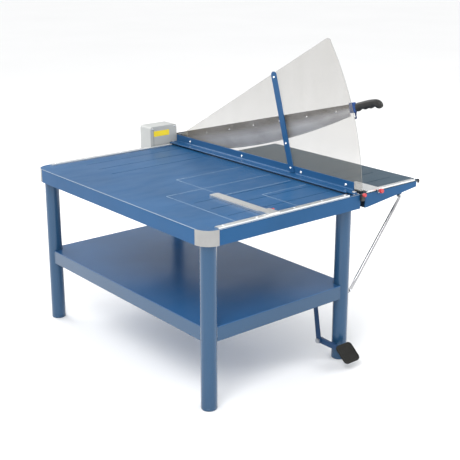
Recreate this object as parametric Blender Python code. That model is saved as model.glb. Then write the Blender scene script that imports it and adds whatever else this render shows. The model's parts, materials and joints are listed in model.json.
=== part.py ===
"""Guillotine paper cutter on legs, built as separate named solids.

Table coordinates are millimetres: x to the right from the table's left edge, y back from
its front edge, z up from the floor.  ORIGIN moves them to the centre of the footprint.
"""
import bpy
import bmesh
from math import sin, cos, pi, radians, sqrt

for old in list(bpy.data.objects):
    bpy.data.objects.remove(old, do_unlink=True)

ORIGIN = (550.0, 594.0)      # table point that becomes the world origin, mm
GAP = 0.3                    # clearance between neighbouring solids
TABLE_W, TABLE_D, TABLE_H = 749.7, 1180.0, 680.0
SHEET = 3.0                  # top plate and apron sheet
APRON_H = 56.0
LIP = 16.0                   # width of an apron's folded lip
CORNER_R = 60.0
CAP_T = 2.7
LEG_R, LEG_WALL = 30.0, 2.0
LEG_X = (50.0, 712.0)
LEG_Y = (50.0, 1130.0)
SHELF_TOP = 315.0
SHELF = (31.0, 729.0, 30.0, 1150.0)
GROOVE_W, GROOVE_DEEP = 3.0, 1.0
MAIN_GROOVES = (110.0, 210.0, 310.0, 870.0, 970.0, 1070.0)
SIDE_GROOVES = (105.0, 200.0, 300.0)
CLAMP_TRAVEL = 4.5
PAD_Z = TABLE_H + CLAMP_TRAVEL + 0.4
FOOT_Z = PAD_Z + 1.5
FOOT_T = 5.0
CLAMP_X0 = 703.0
FLANGE_T, FLANGE_TOP = 3.7, 722.0
CLAMP_Y = (35.0, 1174.0)
ROD_XY = ((722.0, 10.0), (722.0, 1169.5))
ROD_R = 3.5
SPRING_Z = (627.4, 647.6)
KNIFE = (750.2, 757.4)       # fixed lower knife, x
GUARD_X = (750.3, 753.3)
GUARD_C, GUARD_R = (1069.0, 629.0), 1076.0
BLADE_X = (758.0, 764.0)
STIFF_X = (764.3, 770.0)
PIVOT = (1215.0, 695.0)
LIFT = radians(14.42)        # blade angle at rest above level
EDGE_C, EDGE_R = (505.0, 3314.6), 3398.0
BOLT_R = 12.0
SIDE = (777.0, 1100.0, 0.0, 870.0)
HOUSING = (600.0, 749.7, 1180.3, 1264.0, 640.0, 772.0)
PEDAL_AXIS = (102.0, 69.0)
PEDAL_X = 660.0
STRAP_R = 11.5
TREAD_X = (628.0, 712.0)
KNOB_R = 7.5

COLOURS = {
    "blue_paint": ((0.07, 0.17, 0.42), 0.0, 0.35), "slate_paint": ((0.13, 0.20, 0.32), 0.0, 0.4),
    "cap_plastic": ((0.62, 0.62, 0.60), 0.0, 0.5), "aluminium": ((0.80, 0.81, 0.82), 1.0, 0.3),
    "steel": ((0.62, 0.63, 0.65), 1.0, 0.25), "blade_steel": ((0.66, 0.67, 0.70), 1.0, 0.18),
    "grey_paint": ((0.45, 0.47, 0.48), 0.0, 0.5), "black": ((0.02, 0.02, 0.02), 0.0, 0.6),
    "red": ((0.62, 0.03, 0.03), 0.0, 0.35), "chrome": ((0.85, 0.85, 0.86), 1.0, 0.08),
    "clear": ((0.80, 0.80, 0.78), 0.0, 0.1), "rubber": ((0.03, 0.03, 0.03), 0.0, 0.9),
}


def world(p):
    return ((p[0] - ORIGIN[0]) / 1000, (p[1] - ORIGIN[1]) / 1000, p[2] / 1000)


def place(axis, a, b, t):
    """Plane coordinates a, b and the distance t along the axis, as a table point."""
    return {"X": (t, a, b), "Y": (a, t, b), "Z": (a, b, t)}[axis]


def prism(axis, pts, lo, hi):
    n = len(pts)
    verts = [place(axis, a, b, t) for t in (lo, hi) for a, b in pts]
    faces = [list(range(n))[::-1], list(range(n, 2 * n))]
    faces += [[i, (i + 1) % n, n + (i + 1) % n, n + i] for i in range(n)]
    return verts, faces


def box(x0, x1, y0, y1, z0, z1):
    return prism("Z", [(x0, y0), (x1, y0), (x1, y1), (x0, y1)], z0, z1)


def lathe(axis, a, b, profile, n=32, sweep=None):
    """Turn a closed (radius, distance) profile about an axis; sweep is (start, end)."""
    verts, faces, rings = [], [], []
    start, end = sweep or (0.0, 2 * pi)
    count = n if sweep is None else n + 1
    for r, t in profile:
        if r == 0:
            rings.append([len(verts)] * count)
            verts.append(place(axis, a, b, t))
            continue
        rings.append(list(range(len(verts), len(verts) + count)))
        for i in range(count):
            g = start + (end - start) * i / n
            verts.append(place(axis, a + r * cos(g), b + r * sin(g), t))
    last = len(rings) if profile[0][0] or profile[-1][0] else len(rings) - 1
    for k in range(last):
        p, q = rings[k], rings[(k + 1) % len(rings)]
        for i in range(n):
            j = (i + 1) % count
            face = []
            for v in (p[i], p[j], q[j], q[i]):
                if v not in face:
                    face.append(v)
            if len(face) > 2:
                faces.append(face)
    if sweep:
        faces.append([ring[0] for ring in rings])
        faces.append([ring[-1] for ring in rings][::-1])
    return verts, faces


def rod(axis, a, b, r, lo, hi, n=32):
    return lathe(axis, a, b, [(0, lo), (r, lo), (r, hi), (0, hi)], n)


def sweep_tube(points, r, sides=8):
    """A round bar that follows a line of points, with flat ends."""
    from mathutils import Vector
    path = [Vector(p) for p in points]
    verts, faces = [], []
    for k, p in enumerate(path):
        d = (path[min(k + 1, len(path) - 1)] - path[max(k - 1, 0)]).normalized()
        ref = Vector((0, 0, 1)) if abs(d.z) < 0.9 else Vector((0, 1, 0))
        u = d.cross(ref).normalized()
        v = d.cross(u).normalized()
        verts += [tuple(p + r * (cos(2 * pi * i / sides) * u + sin(2 * pi * i / sides) * v))
                  for i in range(sides)]
    for k in range(len(path) - 1):
        for i in range(sides):
            j = (i + 1) % sides
            faces.append([k * sides + i, k * sides + j, (k + 1) * sides + j, (k + 1) * sides + i])
    faces.append(list(range(sides)))
    faces.append(list(range((len(path) - 1) * sides, len(path) * sides))[::-1])
    return verts, faces


def mesh_from(name, shapes, origin):
    bm = bmesh.new()
    for verts, faces in shapes:
        made = [bm.verts.new([c - o for c, o in zip(world(v), origin)]) for v in verts]
        for f in faces:
            bm.faces.new([made[i] for i in f])
    bmesh.ops.recalc_face_normals(bm, faces=bm.faces)
    mesh = bpy.data.meshes.new(name)
    bm.to_mesh(mesh)
    bm.free()
    return mesh


def material(name, colour):
    rgb, metal, rough = COLOURS[colour]
    mat = bpy.data.materials.new(name)
    mat.use_nodes = True
    shader = mat.node_tree.nodes["Principled BSDF"]
    shader.inputs["Base Color"].default_value = (*rgb, 1)
    shader.inputs["Metallic"].default_value = metal
    shader.inputs["Roughness"].default_value = rough
    if colour == "clear":
        shader.inputs["Alpha"].default_value = 0.3
    mat.diffuse_color = (*rgb, 1)
    return mat


def helper(name, shape):
    obj = bpy.data.objects.new(name, mesh_from(name, [shape], (0, 0, 0)))
    bpy.context.scene.collection.objects.link(obj)
    obj.hide_render = True
    obj.display_type = "WIRE"
    return obj


def node(name, shape, colour, at=None, cuts=(), adds=(), bevel=0.0, segments=2, smooth=False):
    """One named solid: the shape, its bevel, then what is added to it and cut from it."""
    origin = world(at) if at else (0.0, 0.0, 0.0)
    mesh = mesh_from(name, [shape], origin)
    obj = bpy.data.objects.new(name, mesh)
    bpy.context.scene.collection.objects.link(obj)
    obj.location = origin
    mesh.materials.append(material(name, colour))
    if bevel:
        m = obj.modifiers.new("bevel", "BEVEL")
        m.width = bevel / 1000
        m.segments = segments
        m.limit_method = "ANGLE"
        m.angle_limit = radians(40)
    for i, shapes in enumerate(adds):
        m = obj.modifiers.new("add%d" % i, "BOOLEAN")
        m.operation, m.solver = "UNION", "EXACT"
        m.object = helper("%s_add%d" % (name, i), shapes)
    for i, shapes in enumerate(cuts):
        m = obj.modifiers.new("cut%d" % i, "BOOLEAN")
        m.operation, m.solver = "DIFFERENCE", "EXACT"
        m.object = helper("%s_cut%d" % (name, i), shapes)
    if smooth:
        mesh.polygons.foreach_set("use_smooth", [True] * len(mesh.polygons))
        mesh.set_sharp_from_angle(angle=radians(35))
    return obj


def arc(cx, cy, r, a0, a1, n):
    return [(cx + r * cos(radians(a0 + (a1 - a0) * i / n)),
             cy + r * sin(radians(a0 + (a1 - a0) * i / n))) for i in range(n + 1)]


def blade_point(u, w):
    """u along the raised blade from its pivot, w square to it; gives y and z."""
    return (PIVOT[0] - u * cos(LIFT) + w * sin(LIFT), PIVOT[1] + u * sin(LIFT) + w * cos(LIFT))


def edge_w(u):
    return EDGE_C[1] - sqrt(EDGE_R ** 2 - (u - EDGE_C[0]) ** 2)


# ---------------------------------------------------------------- table and aprons
R_PLATE = CORNER_R - CAP_T - GAP
outline = [(0, CORNER_R + GAP), (CAP_T + GAP, CORNER_R + GAP)]
outline += arc(CORNER_R, CORNER_R, R_PLATE, 180, 270, 8)[1:-1]
outline += [(CORNER_R + GAP, CAP_T + GAP), (CORNER_R + GAP, 0), (TABLE_W, 0), (TABLE_W, TABLE_D)]
far = TABLE_D - CORNER_R
outline += [(CORNER_R + GAP, TABLE_D), (CORNER_R + GAP, TABLE_D - CAP_T - GAP)]
outline += arc(CORNER_R, far, R_PLATE, 90, 180, 8)[1:-1]
outline += [(CAP_T + GAP, far - GAP), (0, far - GAP)]
grooves = [box(187, 690, y - GROOVE_W / 2, y + GROOVE_W / 2, TABLE_H - GROOVE_DEEP, TABLE_H + 1)
           for y in MAIN_GROOVES]
rod_holes = [rod("Z", x, y, ROD_R + 0.4, TABLE_H - 9, TABLE_H + 9, 24) for x, y in ROD_XY]
node("table_top", prism("Z", outline, TABLE_H - SHEET, TABLE_H), "slate_paint", cuts=grooves + rod_holes)

Z0, Z1 = TABLE_H - APRON_H, TABLE_H - SHEET - GAP
UNDER = TABLE_H - SHEET - GAP


def apron_profile(face, inward, z0=Z0, z1=Z1):
    """Sheet wall with a folded bottom lip; face is its outer plane, inward is +1 or -1."""
    s = inward
    return [(face, z0), (face + s * LIP, z0), (face + s * LIP, z0 + SHEET),
            (face + s * SHEET, z0 + SHEET), (face + s * SHEET, z1), (face, z1)]


node("front_apron", prism("X", apron_profile(0, 1), CORNER_R + GAP, TABLE_W), "slate_paint")
node("rear_apron", prism("X", apron_profile(TABLE_D, -1), CORNER_R + GAP, TABLE_W), "slate_paint")
node("left_apron", prism("Y", apron_profile(0, 1), CORNER_R + GAP, far - GAP), "slate_paint")
leg_cuts = [rod("Z", x, y, LEG_R + 0.4, 200, 690, 40) for x in LEG_X for y in LEG_Y]
node("knife_beam", prism("Y", apron_profile(TABLE_W, -1), LIP + GAP, TABLE_D - LIP - GAP),
     "blue_paint", cuts=leg_cuts[2:])
node("counter_knife", prism("Y", [(KNIFE[0], 642), (KNIFE[1], 642), (KNIFE[1], TABLE_H),
                                  (KNIFE[0], TABLE_H)], LIP + 1, 1176), "steel")
for label, cy, a0 in (("front", CORNER_R, 180), ("rear", far, 90)):
    ring = [(CORNER_R - 10, Z0), (CORNER_R, Z0), (CORNER_R, TABLE_H), (CORNER_R - CAP_T, TABLE_H),
            (CORNER_R - CAP_T, UNDER), (CORNER_R - 10, UNDER)]
    node("corner_cap_" + label, lathe("Z", CORNER_R, cy, ring, 8, (radians(a0), radians(a0 + 90))),
         "cap_plastic", smooth=True)

# ---------------------------------------------------------------- legs and shelf
leg_ring = [(0, 0), (LEG_R, 0), (LEG_R, UNDER), (LEG_R - LEG_WALL, UNDER), (LEG_R - LEG_WALL, 4), (0, 4)]
for side, x in zip(("left", "right"), LEG_X):
    for end, y in zip(("front", "rear"), LEG_Y):
        slots = ()
        if (side, end) == ("right", "front"):
            slots = (box(672, 700, 43, 57, 57, 78), box(704, 731, 14, 40, 645, 667))
        node("leg_%s_%s" % (end, side), lathe("Z", x, y, leg_ring, 40), "blue_paint",
             at=(x, y, 0), cuts=slots, smooth=True)

X0, X1, Y0, Y1 = SHELF
S0, S1 = SHELF_TOP - APRON_H, SHELF_TOP - SHEET - GAP
node("shelf_panel", box(X0, X1, Y0, Y1, SHELF_TOP - SHEET, SHELF_TOP), "slate_paint", cuts=leg_cuts)
MID_X, MID_Y = LEG_X, LEG_Y
node("shelf_rail_front", prism("X", apron_profile(Y0, 1, S0, S1), *MID_X), "blue_paint", cuts=leg_cuts[::2])
node("shelf_rail_rear", prism("X", apron_profile(Y1, -1, S0, S1), *MID_X), "blue_paint", cuts=leg_cuts[1::2])
node("shelf_rail_left", prism("Y", apron_profile(X0, 1, S0, S1), *MID_Y), "blue_paint", cuts=leg_cuts[:2])
node("shelf_rail_right", prism("Y", apron_profile(X1, -1, S0, S1), *MID_Y), "blue_paint", cuts=leg_cuts[2:])

# ---------------------------------------------------------------- rails on the table
TOP = TABLE_H + GAP


def rail_profile(y0, y1, top):
    return [(y0, TOP), (y1, TOP), (y1, top - 1), (y1 - 1, top), (y0 + 1, top), (y0, top - 1)]


node("front_rail", prism("X", rail_profile(5, 28, 686), 60, 695), "aluminium")
node("rear_rail", prism("X", rail_profile(1148, 1170, 686), 67, 698), "aluminium")

# ---------------------------------------------------------------- side table
SX0, SX1, SY0, SY1 = SIDE
side_grooves = [box(875, 1040, y - GROOVE_W / 2, y + GROOVE_W / 2, TABLE_H - GROOVE_DEEP, TABLE_H + 1)
                for y in SIDE_GROOVES]
node("side_table_top", prism("Z", [(SX0, SY0), (SX1 - 4, SY0), (SX1, SY0 + 4), (SX1, SY1 - 4),
                                   (SX1 - 4, SY1), (SX0, SY1)], TABLE_H - SHEET, TABLE_H),
     "slate_paint", cuts=side_grooves)
taper = [(SX0 + 0.3, 622), (SX0 + 12, 622), (1078, 655), (1078, UNDER), (SX0 + 0.3, UNDER)]
node("side_bracket_front", prism("Y", taper, SY0, SY0 + 4), "slate_paint")
node("side_bracket_rear", prism("Y", taper, SY1 - 4, SY1), "slate_paint")
node("side_table_end", box(SX0 + 0.3, SX0 + 4, SY0 + 4 + GAP, SY1 - 4 - GAP, 622, UNDER), "blue_paint")
u_shape = [(715, UNDER), (715, 574), (812, 574), (812, UNDER), (796, UNDER), (796, 594), (731, 594),
           (731, UNDER)]
for label, y in (("front", 250), ("rear", 700)):
    node("side_hanger_" + label, prism("Y", u_shape, y, y + 12), "blue_paint",
         cuts=(box(733, 751, y - 5, y + 20, 600, UNDER + 5),))
node("side_rail", prism("X", rail_profile(1, 22, 685), 784, 1070), "aluminium")

LOW, HIGH = (756.0, 48.0, 266.0), (1043.0, 48.0, 616.0)
node("support_strut", sweep_tube([LOW, HIGH], 6.5, 20), "chrome", at=LOW, smooth=True)
lug_low = [(742.6, 248)] + arc(757, 266, 10, -60, 90, 6) + [(742.6, 284)]
lug_high = [(1031, UNDER), (1031, 620)] + arc(1043, 616, 11, 190, 350, 6) + [(1056, 620), (1056, UNDER)]
node("strut_lug_lower", prism("Y", lug_low, 55, 59), "blue_paint")
node("strut_lug_upper", prism("Y", lug_high, 55, 59), "blue_paint")

# ---------------------------------------------------------------- pivot at the back
HX0, HX1, HY0, HY1, HZ0, HZ1 = HOUSING
PY, PZ = PIVOT
shell_cut = box(HX0 + 4, HX1 - 4, HY0 + 4, HY1 - 4, HZ0 - 5, HZ1 - 4)
node("pivot_housing", box(*HOUSING), "grey_paint", bevel=7, segments=3,
     cuts=(shell_cut, rod("X", PY, PZ, BOLT_R + 0.8, HX1 - 10, HX1 + 5)))
node("bearing_block", box(692, 744, HY0 + 5, 1250, 655, 735), "grey_paint", bevel=2, segments=1,
     cuts=(rod("X", PY, PZ, BOLT_R + 0.1, 680, 750, 48),))
bolt = [(0, 678), (BOLT_R, 678), (BOLT_R, 770.7), (17, 770.7), (17, 776), (14, 778.5), (0, 778.5)]
node("pivot_bolt", lathe("X", PY, PZ, bolt, 48), "steel", at=(678, PY, PZ), smooth=True)
hexagon = [(PY + 19 * cos(radians(a)), PZ + 19 * sin(radians(a))) for a in range(0, 360, 60)]
node("pivot_nut", prism("X", hexagon, 680, 691.4), "steel", at=(680, PY, PZ),
     cuts=(rod("X", PY, PZ, BOLT_R + 0.3, 670, 700, 48),))
washer = [(BOLT_R + 0.4, 750.2), (15.5, 750.2), (15.5, 757.6), (BOLT_R + 0.4, 757.6)]
node("pivot_washer", lathe("X", PY, PZ, washer, 32), "steel", at=(750.2, PY, PZ), smooth=True)

# ---------------------------------------------------------------- clamp, guard and rods
foot_z1 = FOOT_Z + FOOT_T
angle = [(CLAMP_X0, FOOT_Z), (TABLE_W, FOOT_Z), (TABLE_W, FLANGE_TOP - 1), (TABLE_W - 1, FLANGE_TOP),
         (TABLE_W - FLANGE_T, FLANGE_TOP), (TABLE_W - FLANGE_T, foot_z1 + 4),
         (TABLE_W - FLANGE_T - 4, foot_z1), (CLAMP_X0 + 2, foot_z1), (CLAMP_X0, foot_z1 - 2)]
front_trim = box(CLAMP_X0 - 1, ROD_XY[0][0] - 10, -20, 35, 680, 730)
flange_trim = box(ROD_XY[0][0] + 10, TABLE_W + 1, -20, 35, 680, 730)
clamp_holes = [rod("Z", x, y, ROD_R + 0.3, 680, 700, 24) for x, y in ROD_XY]
node("clamp_bar", prism("Y", angle, 1.5, CLAMP_Y[1]), "blue_paint",
     cuts=[front_trim, flange_trim] + clamp_holes)
node("clamp_pad", box(CLAMP_X0 + 1, CLAMP_X0 + 11, 40, 1160, PAD_Z, FOOT_Z - GAP), "rubber")
top_front = (205.0, 1250.0)
rise = sin(radians(29.4)) / cos(radians(29.4))
guard = [(-4, 692)]
guard += [(GUARD_C[0] - sqrt(GUARD_R ** 2 - (z - GUARD_C[1]) ** 2), z)
          for z in (720, 780, 840, 900, 960, 1020, 1080, 1130, 1175, 1212, 1240)]
guard += [(187, 1250), (197, 1254), (208, 1252)]
guard += [(1190, 1254 - rise * (1190 - 205)), (1198, 697), (1196, 692)]
node("guard_panel", prism("X", guard, *GUARD_X), "clear")
ang = radians(16.5)
d = (sin(ang), cos(ang))
base, top = (378.0, 696.0), (494.0, 1088.0)
strut = [(base[0] - 16, foot_z1 + 4 + GAP), (base[0] + 14, foot_z1 + 4 + GAP)]
strut += [(top[0] + 15 * cos(radians(a)) - 0, top[1] - 8 + 15 * sin(radians(a))) for a in range(-16, 180, 28)]
strut_x = (TABLE_W - FLANGE_T - 4.3, TABLE_W - FLANGE_T - GAP)
node("guard_strut", prism("X", strut, *strut_x), "blue_paint",
     adds=(rod("X", 490, 1072, 7, strut_x[1] - 1, GUARD_X[0] - GAP, 20),
           rod("X", 412, 809, 7, strut_x[1] - 1, GUARD_X[0] - GAP, 20)))
for (x, y), label in zip(ROD_XY, ("front", "rear")):
    stud = [(0, 636), (ROD_R, 636), (ROD_R, 648), (6.5, 648), (6.5, 652), (ROD_R, 652),
            (ROD_R, foot_z1 + GAP), (7, foot_z1 + GAP), (7, foot_z1 + 4), (5, foot_z1 + 5.5),
            (0, foot_z1 + 5.5)]
    node("guide_rod_" + label, lathe("Z", x, y, stud, 24), "steel", at=(x, y, 636), smooth=True)
    turns, steps = 4, 12
    z0, z1 = SPRING_Z[0] + 0.9, SPRING_Z[1] - 0.9
    coil = [(x + 5.05 * cos(2 * pi * i / steps), y + 5.05 * sin(2 * pi * i / steps),
             z0 + (z1 - z0) * i / (turns * steps)) for i in range(turns * steps + 1)]
    node("return_spring_" + label, sweep_tube(coil, 0.8, 6), "steel", at=(x, y, SPRING_Z[0]), smooth=True)
LX, LY = LEG_X[1], LEG_Y[0]

node("pull_rod", rod("Z", LX, LY, 5, 79, 656, 24), "steel", at=(LX, LY, 79), smooth=True,
     adds=(box(LX - 6, LX + 6, LY - 10, LY + 10, 57, 82),
           prism("Z", [(LX - 6, LY + 6), (LX - 6, LY - 8), (715, 3.5), (728.5, 3.5), (728.5, 16.5),
                       (LX + 7, LY - 6), (LX + 7, LY + 6)], 652.3, 660.3)),
     cuts=(prism("X", arc(LY + 0.6, PEDAL_AXIS[1], 4.6, -90, 90, 8)
                 + arc(LY - 0.6, PEDAL_AXIS[1], 4.6, 90, 270, 8), LX - 9, LX + 9),
           rod("Z", *ROD_XY[0], ROD_R + 0.4, 640, 670, 24)))

# ---------------------------------------------------------------- blade and handle
PLATE_END = 1171.0
blade = [(u, edge_w(u)) for u in range(40, 1160, 70)] + [(PLATE_END, edge_w(PLATE_END))]
blade += [(PLATE_END, 27.8), (30, 23.3), (12, 23.3)]
blade += arc(0, 0, 26, 70, 240, 8)
hub_hole = rod("X", PY, PZ, BOLT_R + 0.3, 740, 790, 48)
node("blade", prism("X", [blade_point(u, w) for u, w in blade], *BLADE_X), "blade_steel",
     at=(BLADE_X[0], PY, PZ), cuts=(hub_hole,))
back = [(24, -22), (60, 2), (PLATE_END, 8), (PLATE_END, 26), (30, 22), (12, 22)] + arc(0, 0, 24, 70, 290, 10)
node("blade_stiffener", prism("X", [blade_point(u, w) for u, w in back], *STIFF_X), "steel",
     at=(STIFF_X[0], PY, PZ), cuts=(hub_hole,))
collar = [(PLATE_END + 0.3, -6), (1196, -8), (1201, -4), (1201, 30), (1197, 33), (PLATE_END + 0.3, 33)]
HOOK = blade_point(1197, -5)
clevis = prism("X", [blade_point(u, w) for u, w in ((1186, -12), (1206, -12), (1206, 3), (1186, 3))],
               761.4, 766.6)
node("handle_collar", prism("X", [blade_point(u, w) for u, w in collar], BLADE_X[0], 769.7),
     "blue_paint", at=(BLADE_X[0], PY, PZ), bevel=1.5, segments=1,
     cuts=(clevis, rod("X", *HOOK, 1.8, 755, 775, 20)))
grip = [(1201.3, -2), (1212, -4), (1222, 0), (1235, 2), (1248, -1), (1262, 1), (1276, 0), (1290, 3),
        (1299, 4), (1303, -3), (1314, -6), (1325, -3), (1330, 4), (1329, 13), (1324, 22), (1309, 31),
        (1282, 33), (1255, 33), (1230, 30), (1210, 27), (1201.3, 27)]
node("handle_grip", prism("X", [blade_point(u, w) for u, w in grip], 755.5, 782), "black",
     at=(769, PY, PZ), bevel=5, segments=2, smooth=True)
hook = arc(HOOK[0], HOOK[1], 3.6, 0, 180, 8)
hook += [(HOOK[0] - 3.6, HOOK[1] - 14), (HOOK[0] - 6.5, HOOK[1] - 20), (HOOK[0] - 4, HOOK[1] - 26),
         (HOOK[0] + 2, HOOK[1] - 27), (HOOK[0] + 5, HOOK[1] - 22), (HOOK[0] + 1.5, HOOK[1] - 20),
         (HOOK[0] - 0.5, HOOK[1] - 22), (HOOK[0] - 1, HOOK[1] - 17), (HOOK[0] + 3.6, HOOK[1] - 9)]
node("latch_hook", prism("X", hook, 762.4, 765.6), "blue_paint", at=(762.4, *HOOK),
     adds=(rod("X", *HOOK, 1.6, 758.6, 769.2, 20),))

# ---------------------------------------------------------------- catch at the front
CATCH = (752.0, 681.0)       # knob axis, x and z
node("latch_block", box(745, 764, -11, -0.4, 655, 683), "black", bevel=1.2, segments=1,
     cuts=(rod("Y", *CATCH, 3.3, -20, -4, 20),))


def knob_shape(axis, a, b, start, step, stem=6.0):
    """Knurled-size knob with a stem; step is +1 or -1 along the axis from its face."""
    profile = [(0, -stem), (3, -stem), (3, 0.6), (KNOB_R, 0.6), (KNOB_R, 11), (KNOB_R - 2, 13), (0, 13)]
    return lathe(axis, a, b, [(r, start + step * t) for r, t in profile], 24)


node("latch_knob", knob_shape("Y", *CATCH, -11, -1), "red", at=(CATCH[0], -11, CATCH[1]), smooth=True)

# ---------------------------------------------------------------- back gauge on the front rail
GX = (285.0, 330.0)
head = [(3, 686.4), (28.5, 686.4), (28.5, TOP), (59, TOP), (59, 692), (3, 692)]
node("gauge_head", prism("X", head, GX[0], GX[1] + 5), "aluminium",
     cuts=(rod("X", 48, 689.4 - 3, 3.3, 325, 345, 20),))
bar = [(GX[0], 59.3), (GX[1], 59.3), (GX[1], 335)] + arc(GX[1] - 10, 335, 10, 0, 90, 4)[1:]
bar += arc(GX[0] + 10, 335, 10, 90, 180, 4)
node("gauge_bar", prism("Z", bar, TOP, 688), "aluminium")
profile = [(0, 328), (3, 328), (3, 335.6), (5.6, 335.6), (5.6, 346), (4, 348), (0, 348)]
node("gauge_knob", lathe("X", 48, 686.4, profile, 24), "red", at=(335, 48, 686.4), smooth=True)

# ---------------------------------------------------------------- narrow stop on the side rail
stop = [(784, -4), (860, -4), (860, 125), (770.6, 125), (770.6, 18), (784, 18)]
node("stop_plate", prism("Z", stop, 685.3, 688), "aluminium",
     adds=(box(840, 860, -8, -1.4, 672, 687),), cuts=(rod("Y", 850, 680, 3.3, -20, -3, 20),))
stop_knob = [(0, -3.4), (3, -3.4), (3, -8.6), (9, -8.6), (9, -21), (7, -23), (0, -23)]
node("stop_knob", lathe("Y", 850, 680, stop_knob, 24), "red", at=(850, -8, 680), smooth=True)

# ---------------------------------------------------------------- pedal
lean = 0.165
AY, AZ = PEDAL_AXIS
strap_top = SHELF_TOP - SHEET - GAP
strap = arc(AY, AZ, STRAP_R, 190, 350, 6)
strap += [(AY + STRAP_R - 3 + lean * (strap_top - AZ), strap_top),
          (AY - STRAP_R + 3 + lean * (strap_top - AZ), strap_top)]
node("pedal_strap", prism("X", strap, 647, 653), "blue_paint",
     cuts=(rod("X", AY, AZ, 6.3, 640, 660, 32),))
pin = [(0, 640), (10, 640), (10, 646.7), (6, 646.7), (6, 664.6), (10, 664.6), (10, 671), (0, 671)]
node("pedal_bolt", lathe("X", AY, AZ, pin, 32), "steel", at=(640, AY, AZ), smooth=True)
arm = arc(AY, AZ, 12, -90, 90, 8) + [(-11.3, 76.5), (-28.6, 62), (40, 57)]
node("pedal_arm", prism("X", arm, 654, 664), "blue_paint", at=(654, AY, AZ),
     adds=(rod("X", LY, AZ, 4, 660, 717, 24),), cuts=(rod("X", AY, AZ, 6.1, 640, 680, 48),))
tread = [(-6, 90), (-10, 91), (-75.4, 36), (-76.4, 32.5), (-73, 29), (-69.5, 28), (-3, 84), (-3, 87)]
node("pedal_pad", prism("X", tread, *TREAD_X), "rubber", at=(660, AY, AZ), bevel=1.5, segments=1)
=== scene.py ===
"""Looks for the guillotine paper cutter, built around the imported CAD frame."""

import json
from math import sin, cos, pi, radians, sqrt, atan2

import bmesh
import bpy
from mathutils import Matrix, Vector


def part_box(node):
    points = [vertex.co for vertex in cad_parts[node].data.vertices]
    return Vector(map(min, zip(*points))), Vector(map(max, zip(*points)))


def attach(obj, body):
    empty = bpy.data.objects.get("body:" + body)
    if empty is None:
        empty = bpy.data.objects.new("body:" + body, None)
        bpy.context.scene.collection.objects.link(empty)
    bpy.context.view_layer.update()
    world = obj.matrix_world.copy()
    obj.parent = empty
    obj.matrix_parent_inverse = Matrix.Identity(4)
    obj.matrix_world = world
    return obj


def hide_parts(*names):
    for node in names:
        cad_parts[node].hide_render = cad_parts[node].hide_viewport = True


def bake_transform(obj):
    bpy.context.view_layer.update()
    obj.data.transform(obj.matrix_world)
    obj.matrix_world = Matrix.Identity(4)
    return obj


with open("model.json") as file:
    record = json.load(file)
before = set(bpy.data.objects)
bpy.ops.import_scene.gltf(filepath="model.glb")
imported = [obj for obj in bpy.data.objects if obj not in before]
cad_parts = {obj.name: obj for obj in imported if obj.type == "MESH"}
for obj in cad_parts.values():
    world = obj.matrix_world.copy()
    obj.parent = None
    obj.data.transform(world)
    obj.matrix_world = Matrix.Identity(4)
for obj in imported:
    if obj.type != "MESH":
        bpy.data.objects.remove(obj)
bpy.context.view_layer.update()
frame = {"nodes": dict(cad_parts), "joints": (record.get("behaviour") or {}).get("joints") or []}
NODES = frame["nodes"]
JOINTS = {j["name"]: j for j in frame["joints"]}
MM = 0.001

# The table's left front corner and the blade's pivot, both read from the frame.
T0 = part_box("table_top")[0]
PIVOT = JOINTS["blade_swing"]["pos_m"]
LIFT = radians(14.42)        # the shown blade's angle above level


def W(x, y, z):
    """A point in table millimetres, as a point in the row frame."""
    return Vector((T0.x + x * MM, T0.y + y * MM, z * MM))


def table_box(node):
    """The lowest and highest corner of a CAD node, in table millimetres."""
    lo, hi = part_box(node)
    off = Vector((T0.x, T0.y, 0))
    return (lo - off) / MM, (hi - off) / MM


# ------------------------------------------------------------------ materials
def tree(name):
    """A new material with its node tree and its Principled shader."""
    mat = bpy.data.materials.new(name)
    mat.use_nodes = True
    nt = mat.node_tree
    return mat, nt, nt.nodes["Principled BSDF"]


def add(nt, kind, **values):
    """A node with these values on its sockets, or on itself where no socket has the name."""
    n = nt.nodes.new(kind)
    for k, v in values.items():
        if k in n.inputs:
            n.inputs[k].default_value = v
        else:
            setattr(n, k.lower(), v)
    return n


def noise(nt, scale, stretch=(1, 1, 1), detail=4.0, rough=0.55):
    """Noise in object coordinates, stretched along the axes."""
    coords = nt.nodes.get("coords") or add(nt, "ShaderNodeTexCoord")
    coords.name = "coords"
    mp = nt.nodes.new("ShaderNodeMapping")
    mp.inputs["Scale"].default_value = stretch
    nt.links.new(coords.outputs["Object"], mp.inputs["Vector"])
    tex = add(nt, "ShaderNodeTexNoise", Scale=scale, Detail=detail, Roughness=rough)
    nt.links.new(mp.outputs[0], tex.inputs["Vector"])
    return tex.outputs["Fac"]


def ramp(nt, fac, stops):
    """A colour ramp with these (position, colour) stops."""
    n = nt.nodes.new("ShaderNodeValToRGB")
    e = n.color_ramp.elements
    while len(e) < len(stops):
        e.new(0.5)
    for el, (pos, col) in zip(e, stops):
        el.position = pos
        el.color = (*col, 1) if len(col) == 3 else col
    nt.links.new(fac, n.inputs["Fac"])
    return n.outputs["Color"]


def grey(v):
    return (v, v, v)


def mix(nt, fac, a, b):
    """Colour a turning into colour b; each of the three is a value or a socket."""
    n = nt.nodes.new("ShaderNodeMix")
    n.data_type = "RGBA"
    for sock, v in ((n.inputs[0], fac), (n.inputs[6], a), (n.inputs[7], b)):
        if hasattr(v, "is_linked"):
            nt.links.new(v, sock)
        elif sock.type == "RGBA":
            sock.default_value = (*v, 1)
        else:
            sock.default_value = v
    return n.outputs[2]


def bump(nt, shader, height, strength, distance):
    n = add(nt, "ShaderNodeBump", Strength=strength, Distance=distance)
    nt.links.new(height, n.inputs["Height"])
    nt.links.new(n.outputs[0], shader.inputs["Normal"])


def shade(c, k):
    """A colour made k times as bright, within 1."""
    return tuple(min(1.0, v * k) for v in c)


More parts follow.
